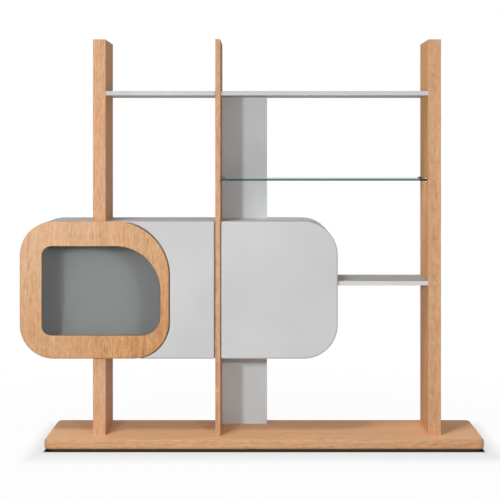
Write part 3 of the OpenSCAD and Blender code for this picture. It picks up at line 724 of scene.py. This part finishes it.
class SHELVING_OT_finish_glass(bpy.types.Operator):
    """Puts clear glass with green edges on the shelf and the door's pane"""

    bl_idname = "shelving.finish_glass"
    bl_label = "Finish glass"

    def execute(self, context):
        tints = context.scene.shelving_glass
        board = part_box("spine_upper")[1].x
        shelf = glass("shelf_glass", "glass_shelf", tints.shelf, bending=1.5, board=board)
        put_on(["glass_shelf"], shelf)
        pane = glass("door_pane_glass", "door_glass", tints.pane, bending=1.2)
        put_on(["door_glass"], pane)
        return {"FINISHED"}


class SHELVING_OT_finish_fittings(bpy.types.Operator):
    """Puts steel, plastic, rubber, board and beech on the fittings and the plinth"""

    bl_idname = "shelving.finish_fittings"
    bl_label = "Finish fittings"

    def execute(self, context):
        fittings = context.scene.shelving_fittings
        put_on(STEEL, brushed_steel("satin_steel", fittings.steel))
        put_on(["glass_clamps"], brushed_steel("clamp_steel", fittings.clamp))
        plastic = moulded("black_plastic", fittings.plastic, roughness=0.45, grain=900.0)
        put_on(PLASTIC, plastic)
        rubber = moulded("rubber_pads", linear(26, 26, 27), roughness=0.75, grain=500.0)
        put_on(["clamp_pads"], rubber)
        put_on(["plinth_board"], fine_wood("dark_board", fittings.board, fibres=400.0))
        put_on(DOWELS, fine_wood("beech", fittings.dowel, fibres=900.0))
        return {"FINISHED"}


# Screws and bolts

TOUCH = 1e-5  # two places closer than this in a CAD fastener are the same
PITCH = 0.62  # of the thread, as a share of the shank's radius
THREADED = 0.75  # most of the shank that is threaded
MOST_TURNS = 12
ROOT = 0.78  # radius between the threads, as a share of the shank's
TIP = {"cross": (2.0, 0.25), "hexagon": (0.6, 0.8)}  # its length in pitches, and its end's share
HEAD_BEVEL = 0.45  # of the head's depth
RECESS_WIDTH = 1.15  # of the head's radius
RECESS_DEPTH = 0.7  # of the head's depth


def loose_solids(node):
    """The corners of each separate solid of a CAD node."""
    mesh = frame["nodes"][node].data
    group = list(range(len(mesh.vertices)))
    owner = {}

    def first(k):
        while group[k] != k:
            group[k] = group[group[k]]
            k = group[k]
        return k

    for vertex in mesh.vertices:
        key = tuple(round(value, 6) for value in vertex.co)
        group[first(vertex.index)] = first(owner.setdefault(key, vertex.index))
    for face in mesh.polygons:
        for corner in face.vertices[1:]:
            group[first(corner)] = first(face.vertices[0])
    solids = {}
    for vertex in mesh.vertices:
        solids.setdefault(first(vertex.index), []).append(vertex.co.copy())
    return list(solids.values())


class Seat:
    """Where one CAD screw or bolt lies, and its sizes."""

    def __init__(self, corners):
        low = Vector([min(corner[k] for corner in corners) for k in range(3)])
        high = Vector([max(corner[k] for corner in corners) for k in range(3)])
        along = max(range(3), key=lambda k: high[k] - low[k])
        middle = (low + high) / 2
        across = [k for k in range(3) if k != along]

        def spread(end):
            return max(
                math.hypot(*(corner[k] - middle[k] for k in across))
                for corner in corners if abs(corner[along] - end) < TOUCH
            )

        at_low, at_high = spread(low[along]), spread(high[along])
        self.length = high[along] - low[along]
        self.head_radius = max(at_low, at_high)
        self.two_heads = abs(at_low - at_high) < 10 * TOUCH
        self.out = Vector([float(k == along) for k in range(3)])
        if at_low > at_high:
            self.out = -self.out
        self.top = middle + self.out * self.length / 2
        deep = [abs(corner[along] - self.top[along]) for corner in corners]
        self.head_depth = min(value for value in deep if value > TOUCH)
        self.shank_radius = min(
            math.hypot(*(corner[k] - middle[k] for k in across))
            for corner, value in zip(corners, deep) if abs(value - self.head_depth) < TOUCH
        )


def select_faces(piece, wanted):
    """Selects the faces that are wanted, and only those."""
    mesh = bmesh.from_edit_mesh(piece.data)
    for face in mesh.faces:
        face.select_set(wanted(face))
    mesh.select_flush_mode()
    bmesh.update_edit_mesh(piece.data)


def select_edges(piece, wanted):
    """Selects the edges whose two ends lie in a wanted place, and only those."""
    bpy.ops.mesh.select_all(action="DESELECT")
    bpy.ops.mesh.select_mode(type="EDGE")
    mesh = bmesh.from_edit_mesh(piece.data)
    for edge in mesh.edges:
        edge.select_set(all(wanted(corner.co) for corner in edge.verts))
    bmesh.update_edit_mesh(piece.data)


def push_down(depth, share=1.0):
    """Extrudes the selected face downwards and makes it share times as wide."""
    bpy.ops.mesh.extrude_region_move(TRANSFORM_OT_translate={"value": (0.0, 0.0, -depth)})
    bpy.ops.transform.resize(value=(share, share, 1.0))


def recess(piece, drive, width, depth, height):
    """Cuts a cross or a hexagon into a head whose face is at z = height."""
    bpy.ops.object.select_all(action="DESELECT")
    if drive == "hexagon":
        bpy.ops.mesh.primitive_cylinder_add(
            vertices=6, radius=width / 2, depth=2 * depth, location=(0.0, 0.0, height)
        )
    else:
        arm = width / 5
        bpy.ops.mesh.primitive_cube_add(size=arm, location=(0.0, 0.0, height))
        bpy.ops.object.mode_set(mode="EDIT")
        bpy.ops.transform.resize(value=(1.0, 1.0, 2 * depth / arm))
        bpy.ops.mesh.select_mode(type="FACE")
        select_faces(bpy.context.object, lambda face: abs(face.normal.z) < 0.5)
        bpy.ops.mesh.extrude_faces_move(TRANSFORM_OT_shrink_fatten={"value": (width - arm) / 2})
        bpy.ops.object.mode_set(mode="OBJECT")
    cutter = bpy.context.object
    cut = piece.modifiers.new("recess", "BOOLEAN")
    cut.object = cutter
    cut.operation = "DIFFERENCE"
    bpy.context.view_layer.objects.active = piece
    bpy.ops.object.modifier_apply(modifier="recess")
    bpy.data.objects.remove(cutter)


def model_fastener(name, seat, drive):
    """A screw or bolt in its solid's sizes, with its head's face at z = 0 and its shank below."""
    bpy.ops.object.select_all(action="DESELECT")
    bpy.ops.mesh.primitive_cylinder_add(
        vertices=24, radius=seat.head_radius, depth=seat.head_depth,
        location=(0.0, 0.0, -seat.head_depth / 2),
    )
    bpy.ops.object.transform_apply(location=True, rotation=True, scale=True)
    made = bpy.context.object
    made.name = name
    bpy.ops.object.mode_set(mode="EDIT")
    bpy.ops.mesh.select_mode(type="FACE")
    select_faces(made, lambda face: face.normal.z < -0.9)
    bpy.ops.mesh.inset(thickness=seat.head_radius - seat.shank_radius)
    if seat.two_heads:
        push_down(seat.length - 2 * seat.head_depth)
        push_down(0.0, seat.head_radius / seat.shank_radius)
        push_down(seat.head_depth)
    else:
        shank = seat.length - seat.head_depth
        pitch = seat.shank_radius * PITCH
        turns = min(MOST_TURNS, int(THREADED * shank / pitch))
        tip_pitches, tip_share = TIP[drive]
        tip = pitch * tip_pitches
        push_down(shank - turns * pitch - tip)
        for _ in range(turns):
            push_down(pitch / 2, ROOT)
            push_down(pitch / 2, 1 / ROOT)
        push_down(tip, tip_share)
    ends = [0.0, -seat.length] if seat.two_heads else [0.0]
    for height in ends:
        select_edges(made, lambda place: abs(place.z - height) < TOUCH / 10)
        bpy.ops.mesh.bevel(offset=seat.head_depth * HEAD_BEVEL, segments=3, affect="EDGES")
    bpy.ops.object.mode_set(mode="OBJECT")
    width, depth = seat.head_radius * RECESS_WIDTH, seat.head_depth * RECESS_DEPTH
    for height in ends:
        recess(made, drive, width, depth, height)
    bpy.ops.object.shade_smooth_by_angle(angle=math.radians(35.0))
    return made


def fit_fasteners(node, drive, steel):
    """Models one fastener, puts a copy on each solid of the node and makes them its piece."""
    seats = [Seat(corners) for corners in loose_solids(node)]
    pattern = model_fastener("pattern", seats[0], drive)
    copies = []
    for seat in seats:
        bpy.ops.object.select_all(action="DESELECT")
        pattern.select_set(True)
        bpy.context.view_layer.objects.active = pattern
        bpy.ops.object.duplicate()
        copy = bpy.context.object
        turn = Vector((0.0, 0.0, 1.0)).rotation_difference(seat.out)
        copy.rotation_euler = turn.to_euler()
        copy.location = seat.top
        copies.append(copy)
    bpy.data.objects.remove(pattern)
    bpy.ops.object.select_all(action="DESELECT")
    for copy in copies:
        copy.select_set(True)
    bpy.context.view_layer.objects.active = copies[0]
    bpy.ops.object.join()
    bpy.ops.object.transform_apply(location=True, rotation=True, scale=True)
    piece = bpy.context.object
    piece.name = node + "_turned"
    piece.data.name = piece.name
    piece.data.materials.clear()
    piece.data.materials.append(steel)
    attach(piece, body_of(frame["nodes"][node])[0])
    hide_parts(node)


class SHELVING_OT_fit_screws(bpy.types.Operator):
    """Models the cross-head screws of the hinge plates and the hinge cups"""

    bl_idname = "shelving.fit_screws"
    bl_label = "Fit screws"

    def execute(self, context):
        steel = brushed_steel("screw_steel", context.scene.shelving_fittings.steel)
        for node in SCREWS:
            fit_fasteners(node, "cross", steel)
        return {"FINISHED"}


class SHELVING_OT_fit_bolts(bpy.types.Operator):
    """Models the hexagon-socket bolts that hold the cabinets to the post and to the panel"""

    bl_idname = "shelving.fit_bolts"
    bl_label = "Fit bolts"

    def execute(self, context):
        steel = brushed_steel("bolt_steel", context.scene.shelving_fittings.steel)
        for node in BOLTS:
            fit_fasteners(node, "hexagon", steel)
        return {"FINISHED"}


# Studio


class StudioSetup(bpy.types.PropertyGroup):
    camera_place: bpy.props.FloatVectorProperty(
        name="Camera place", description="Where the camera stands",
        subtype="XYZ", unit="LENGTH", default=(-0.025, -5.657, 1.323),
    )
    lens: bpy.props.FloatProperty(
        name="Lens", description="Focal length in millimetres on a 36 mm wide frame",
        default=90.3, min=20, max=300,
    )
    shift: bpy.props.FloatVectorProperty(
        name="Shift", description="Sideways and upward lens shift",
        size=2, default=(-0.017, -0.204),
    )
    key_share: bpy.props.FloatProperty(
        name="Left lamp", description="Share of full light that the left front lamp gives",
        default=0.345, min=0, max=2,
    )
    second_share: bpy.props.FloatProperty(
        name="Right lamp", description="Share of full light that the right front lamp gives",
        default=0.235, min=0, max=2,
    )
    box_share: bpy.props.FloatProperty(
        name="Soft box", description="Share of full light that the soft box above the front gives",
        default=0.32, min=0, max=2,
    )
    room_share: bpy.props.FloatProperty(
        name="Room light", description="Share of full light that the white room gives",
        default=0.28, min=0, max=2,
    )
    gloss_share: bpy.props.FloatProperty(
        name="Room in gloss", description="How bright the room looks where a surface reflects it",
        default=0.62, min=0, max=1,
    )
    niche_shade: bpy.props.FloatProperty(
        name="Niche shade", description="How much of the room's soft light the pane keeps out",
        default=0.85, min=0, max=1,
    )
    floor_white: bpy.props.FloatProperty(
        name="Floor white", description="How much of the floor's white comes by itself",
        default=0.97, min=0, max=1,
    )


LAMP_AIM = (-0.1, -0.1, 0.9)
LAMPS = [  # name, place, width and the setting that holds its share of full light
    ("left_lamp", (-1.42, -3.25, 1.32), 0.24, "key_share"),
    ("right_lamp", (1.2, -4.4, 1.45), 0.1, "second_share"),
    ("soft_box", (-2.7, -3.9, 9.7), 1.8, "box_share"),
]
# Painted shadow: how far the floor is painted darker around the base
CONTACT_SHADOW = 0.014  # how far the floor's dark shadow reaches from the base
SOFT_SHADOW = 0.26  # how far its faint one reaches
FLOOR_FADE = (1.1, 2.6)  # where the floor begins and ends to fade to pure white


def lamp(name, place, size, share):
    """A square area lamp that gives its share of full light to a surface that faces it."""
    gap = math.dist(place, LAMP_AIM)
    right, back, up = (end - start for start, end in zip(place, LAMP_AIM))
    bpy.ops.object.light_add(type="AREA", location=place)
    made = bpy.context.object
    made.name = name
    made.data.name = name
    made.data.shape = "RECTANGLE"
    made.data.size = made.data.size_y = size
    made.data.energy = math.pi ** 2 * gap ** 2 * share
    made.visible_transmission = False
    made.rotation_euler = (
        math.atan2(math.hypot(right, back), -up), 0.0, math.atan2(right, -back) + math.pi,
    )


def rays(look, *names):
    return [look.node("ShaderNodeLightPath", output=name) for name in names]


def seen_directly(look):
    """1 for what is seen straight, in gloss or through glass, and 0 for light that spreads."""
    straight, gloss, through, spread = rays(
        look, "Is Camera Ray", "Is Glossy Ray", "Is Transmission Ray", "Diffuse Depth"
    )
    return straight.most(gloss).most(through) * (1.0 - spread.least(1.0))


def spread_by_glass(look):
    """1 for soft light that comes through a pane, so that the niche keeps its deep shade."""
    through, spread = rays(look, "Is Transmission Ray", "Diffuse Depth")
    return through * spread.least(1.0)


def white_floor(studio):
    """Near-white floor that keeps the shadow and adds a painted shadow, darkest under the base,
    and fades to white.
    """
    look = Look("studio_floor")
    x, y, z = place = look.place()
    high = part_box("base_slab")[1]
    far = (x * x + y * y * 1.5) ** 0.5
    gap = ((x.size() - high.x) * 2.5).most(y.size() - high.y)
    # Painted shadow: the floor glows less near the base, so it is darker there
    contact, soft = gap.step(0.0, CONTACT_SHADOW), gap.step(0.01, SOFT_SHADOW)
    bare = studio.floor_white * (contact * 0.66 + soft * 0.34)
    speck = look.cells(place, 40.0, 2.0)
    paint = look.blend(speck, opaque(linear(203, 203, 203)), opaque(linear(209, 209, 209)))
    # Painted shadow: the floor under the base's edge is painted dark
    paint = look.blend(gap.step(-0.004, 0.006), opaque(linear(52, 50, 48)), paint)
    paint = look.blend(spread_by_glass(look) * studio.niche_shade, paint, BLACK)
    matt = look.node("ShaderNodeBsdfDiffuse", inputs={"Color": paint})
    shine = look.node("ShaderNodeEmission", inputs={"Color": WHITE, "Strength": 1.0})
    fade = far.step(*FLOOR_FADE) * (1.0 - studio.floor_white)
    return look.finish(look.mix(seen_directly(look) * (bare + fade), matt, shine))


def white_room(studio):
    """A white background that lights the unit only with its share."""
    world = bpy.data.worlds.new("studio_room")
    bpy.context.scene.world = world
    world.cycles.sampling_method = "NONE"
    look = Look("studio_room", world)
    strength = (1.0 - spread_by_glass(look) * studio.niche_shade) * studio.room_share
    light = look.node("ShaderNodeBackground", inputs={"Color": WHITE, "Strength": strength})
    gloss, = rays(look, "Is Glossy Ray")
    strength = 1.0 - gloss * (1.0 - studio.gloss_share)
    shown = look.node("ShaderNodeBackground", inputs={"Color": WHITE, "Strength": strength})
    look.finish(look.mix(seen_directly(look), light, shown), "ShaderNodeOutputWorld")


class SHELVING_OT_build_studio(bpy.types.Operator):
    """Adds the white floor, the room, the lamps and the camera"""

    bl_idname = "shelving.build_studio"
    bl_label = "Build studio"

    def execute(self, context):
        studio = context.scene.shelving_studio
        bpy.ops.object.select_all(action="DESELECT")
        bpy.ops.mesh.primitive_plane_add(size=60.0, location=(0.0, 0.0, 0.0))
        floor = context.object
        floor.name = "studio_floor"
        floor.data.materials.append(white_floor(studio))
        white_room(studio)
        for name, place, size, share in LAMPS:
            lamp(name, place, size, getattr(studio, share))
        bpy.ops.object.camera_add(
            location=studio.camera_place, rotation=(math.radians(90.0), 0.0, 0.0)
        )
        camera = context.object
        camera.name = "photo_camera"
        camera.data.sensor_width = 36.0
        camera.data.lens = studio.lens
        camera.data.shift_x, camera.data.shift_y = studio.shift
        context.scene.camera = camera
        context.scene.view_settings.view_transform = "Standard"
        return {"FINISHED"}


class SHELVING_PT_unit(bpy.types.Panel):
    """Lists the finishes and the studio"""

    bl_idname = "SHELVING_PT_unit"
    bl_label = "Display shelving unit"
    bl_space_type = "VIEW_3D"
    bl_region_type = "UI"
    bl_category = "Shelving"

    def draw(self, context):
        for step in STEPS:
            self.layout.operator(step.bl_idname)
        for name in GROUPS:
            box = self.layout.box()
            group = getattr(context.scene, name)
            for key in group.__annotations__:
                box.prop(group, key)


STEPS = [
    SHELVING_OT_finish_oak,
    SHELVING_OT_finish_lacquer,
    SHELVING_OT_finish_glass,
    SHELVING_OT_finish_fittings,
    SHELVING_OT_fit_screws,
    SHELVING_OT_fit_bolts,
    SHELVING_OT_build_studio,
]
GROUPS = {
    "shelving_oak": OakFinish,
    "shelving_lacquer": LacquerFinish,
    "shelving_glass": GlassFinish,
    "shelving_fittings": FittingFinish,
    "shelving_studio": StudioSetup,
}
CLASSES = [*GROUPS.values(), *STEPS, SHELVING_PT_unit]


def register():
    for kind in CLASSES:
        bpy.utils.register_class(kind)
    for name, group in GROUPS.items():
        setattr(bpy.types.Scene, name, bpy.props.PointerProperty(type=group))


def unregister():
    for name in GROUPS:
        delattr(bpy.types.Scene, name)
    for kind in reversed(CLASSES):
        bpy.utils.unregister_class(kind)


def main():
    register()
    bpy.ops.shelving.finish_oak()
    bpy.ops.shelving.finish_lacquer()
    bpy.ops.shelving.finish_glass()
    bpy.ops.shelving.finish_fittings()
    bpy.ops.shelving.fit_screws()
    bpy.ops.shelving.fit_bolts()
    bpy.ops.shelving.build_studio()


if __name__ == "__main__":
    main()
